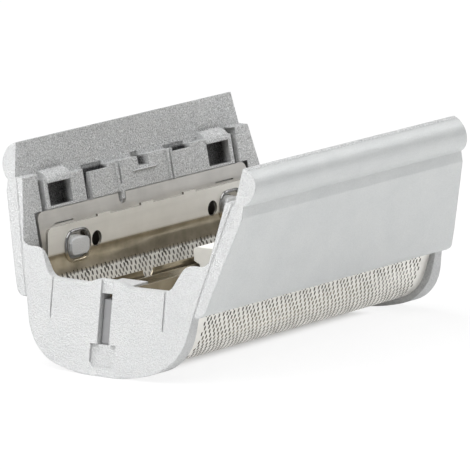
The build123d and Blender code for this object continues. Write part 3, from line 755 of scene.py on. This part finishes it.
def foil_nickel():
    """Foils: satin upper margin, polished flank and inner leg whose brown is a painted dark reflection,
    bright perforated arch, random stains throughout.
    """
    p = Paint("foil_nickel_sheet")
    rolled = p.noise(rolled_size, detail=3.0, roughness=0.6, vector=p.stretch(rolled_stretch))
    stain = p.noise(foil_stain_size, detail=3.0, roughness=0.6)
    margin = p.step(p.axis("Z"), *margin_z)
    satin = p.every(margin, p.step(p.axis("Y", True), *margin_y))
    # Painted dark reflection on the windows' rims
    rims = p.maths("SUBTRACT", margin, satin)
    low = p.step(p.axis("Z"), *arch_z, fall=True)
    arch = p.every(low, p.step(p.axis("Y", True), *arch_y))
    # Painted shade on the walls of the slits and on the upper edge
    cuts = p.every(p.maths("GREATER_THAN", p.facing("X"), slit_facing), p.maths("ADD", satin, low))
    top = p.every(p.maths("GREATER_THAN", p.facing("Z"), top_facing), p.step(p.axis("Z"), *top_edge_z))
    edges = p.maths("MAXIMUM", cuts, p.maths("MULTIPLY", top, top_edge_share))

    def by_zone(on_flank, on_margin, on_arch):
        level = p.maths("MULTIPLY_ADD", arch, on_arch - on_flank, on_flank)
        return p.maths("MULTIPLY_ADD", satin, on_margin - on_flank, level)

    # Painted dark reflection on the flank and inner leg, varied by random stains
    flank_reflection = p.ramp(stain, stain_places, foil_painted_reflection)
    bright = p.ramp(stain, stain_places, foil_bright)
    sheet = p.mix(flank_reflection, bright, p.maths("ADD", margin, arch))
    sheet = p.mix(sheet, p.ramp(rolled, noise_ends, foil_lines), 1.0, "MULTIPLY")
    sheet = p.mix(p.mix(sheet, foil_edge_painted_shade, edges), foil_rim_painted_reflection, rims)
    rough = p.every(by_zone(*foil_rough), p.spread(rolled, *foil_rough_spread))
    p.set({"Base Color": sheet, "Metallic": by_zone(*foil_metallic), "Roughness": rough})
    p.relief(rolled, rolled_depth)
    return p.material


def behind_holes(p):
    """1 on the strips behind the foils' round holes."""
    along = p.away(p.axis("X", True), hole_x)
    up = p.away(p.axis("Z"), hole_z)
    return p.every(p.step(along, *hole_shade_x, fall=True), p.step(up, *hole_shade_z, fall=True))


def steel(name, base, rough, strip=False):
    """Rolled sheet or drawn wire: warm, polished, with faint lengthwise marks."""
    p = Paint(name)
    rolled = p.noise(rolled_size, detail=3.0, roughness=0.6, vector=p.stretch(rolled_stretch))
    stain = p.noise(sheet_stain_size, detail=3.0, roughness=0.6)
    tone = p.ramp(stain, stain_places, (tuple(sheet_dark * c for c in base), base))
    sheet = p.mix(tone, p.ramp(rolled, noise_ends, sheet_lines), 1.0, "MULTIPLY")
    if strip:
        sheet = p.mix(sheet, hole_shade, behind_holes(p))
    p.set({"Base Color": sheet, "Metallic": 1.0, "Roughness": p.spread(rolled, *rough)})
    p.relief(rolled, rolled_depth)
    return p.material


def plastic(name, base, rough):
    """Moulded plastic: faint mottling and an eggshell surface."""
    p = Paint(name)
    mottle = p.noise(mottle_size, detail=3.0)
    skin = p.noise(skin_size)
    colour = p.ramp(mottle, noise_ends, (tuple(mottle_dark * c for c in base), base))
    matt = p.spread(skin, rough + skin_rough, rough - skin_rough)
    p.set({"Base Color": colour, "IOR": plastic_ior, "Roughness": matt})
    p.relief(skin, skin_depth, plastic_soft)
    return p.material


looks = {
    "frame_silver": silver_paint(),
    "foil_nickel": foil_nickel(),
    "strip_steel": steel("strip_steel_sheet", (0.82, 0.80, 0.765), (0.56, 0.48), strip=True),
    "trimmer_steel": steel("trimmer_steel_sheet", (0.60, 0.55, 0.46), (0.34, 0.24)),
    "driver_white": plastic("driver_white_plastic", (0.82, 0.81, 0.765), 0.45),
    "holder_grey": plastic("holder_grey_plastic", (0.27, 0.27, 0.275), 0.5),
    "spring_steel": steel("spring_steel_wire", (0.62, 0.61, 0.59), (0.3, 0.2)),
}

# Foils, finely perforated
for name, side in (("foil_left", 1), ("foil_right", -1)):
    foil = foil_mesh(name + "_fine", side)
    foil.data.materials.append(looks["foil_nickel"])
    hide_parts(name)
    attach(foil, name)

# Paint in the engraved lines
painted = line_paint("line_paint")
painted.data.materials.append(looks["frame_silver"])
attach(painted, "frame")

# The springs: copies of the spring pieces in spring steel, held on the frame
for name in ("trimmer_spring_front", "trimmer_spring_rear"):
    coil = put(name + "_coil", nodes[name].data.copy())
    coil.data.materials[0] = looks["spring_steel"]
    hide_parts(name)
    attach(coil, "frame")
    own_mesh(coil)

# The other pieces are the solids, with their finishes
for node in nodes.values():
    for place in node.material_slots:
        place.material = looks[place.material.name.split(".")[0]]


def paper():
    """The floor's material: matt paper that looks white, but for the shade under the object."""
    p = Paint("paper_floor")
    p.tree.nodes.remove(p.shader)
    sheet = p.add("ShaderNodeBsdfDiffuse")
    sheet.inputs["Color"].default_value = floor_colour
    white = p.add("ShaderNodeEmission")
    white.inputs["Strength"].default_value = 1.0
    rays = p.add("ShaderNodeLightPath").outputs
    seen = p.maths("MULTIPLY", rays["Is Camera Ray"], floor_glow)
    mirrored = p.maths("MULTIPLY", rays["Is Glossy Ray"], floor_mirrored)
    beside = [p.step(p.axis(a, True), h, h + shade_edge) for a, h in zip("XY", shade_half)]
    share = p.every(p.maths("MAXIMUM", seen, mirrored), p.maths("MAXIMUM", *beside))
    blend = p.add("ShaderNodeMixShader")
    for out, into in zip((share, sheet.outputs[0], white.outputs[0]), blend.inputs):
        p.link(out, into)
    p.link(blend.outputs[0], p.tree.nodes["Material Output"].inputs["Surface"])
    return p.material


# Floor
corners = [(x * floor_half, y * floor_half, 0) for x, y in ((-1, -1), (1, -1), (1, 1), (-1, 1))]
floor_mesh = bpy.data.meshes.new("floor")
floor_mesh.from_pydata(corners, [], [(0, 1, 2, 3)])
floor_mesh.materials.append(paper())
floor = put("floor", floor_mesh)

# World: soft light from all round, and white where the camera sees it
world = bpy.data.worlds.new("studio")
bpy.context.scene.world = world
world.use_nodes = True
tree = world.node_tree
tree.nodes.clear()
sky = tree.nodes.new("ShaderNodeBackground")
sky.inputs["Color"].default_value = sky_colour
sky.inputs["Strength"].default_value = sky_light
backdrop = tree.nodes.new("ShaderNodeBackground")
backdrop.inputs["Strength"].default_value = 1.0
seen = tree.nodes.new("ShaderNodeLightPath").outputs["Is Camera Ray"]
blend = tree.nodes.new("ShaderNodeMixShader")
for out, into in zip((seen, sky.outputs[0], backdrop.outputs[0]), blend.inputs):
    tree.links.new(out, into)
surface = tree.nodes.new("ShaderNodeOutputWorld").inputs["Surface"]
tree.links.new(blend.outputs[0], surface)

# Lamps: square soft boxes that face the object
for name, azimuth, elevation, size, watts in lamps:
    lamp = bpy.data.lights.new(name, "AREA")
    lamp.size = size
    lamp.energy = watts
    a, e = radians(azimuth), radians(elevation)
    spot = Vector((cos(e) * cos(a), cos(e) * sin(a), sin(e)))
    softbox = put(name, lamp)
    softbox.location = spot * lamp_distance + metres(view_centre)
    softbox.rotation_euler = spot.to_track_quat("Z", "Y").to_euler()

# Camera
azimuth, elevation, roll = radians(view_azimuth), radians(view_elevation), radians(view_roll)
forward = Vector((cos(elevation) * cos(azimuth), cos(elevation) * sin(azimuth), -sin(elevation)))
level = Vector((sin(azimuth), -cos(azimuth), 0))
above = level.cross(forward)
right = level * cos(roll) + above * sin(roll)
up = above * cos(roll) - level * sin(roll)
lens_data = bpy.data.cameras.new("camera")
lens_data.lens = lens
lens_data.sensor_width = sensor
lens_data.sensor_fit = "HORIZONTAL"
lens_data.clip_start = 0.01
lens_data.clip_end = 10.0
camera = put("camera", lens_data)
turn = Matrix((right, up, -forward)).transposed().to_4x4()
camera.matrix_world = Matrix.Translation(metres(view_centre) - forward * view_distance * MM) @ turn
bpy.context.scene.camera = camera
bpy.context.scene.view_settings.view_transform = "Standard"
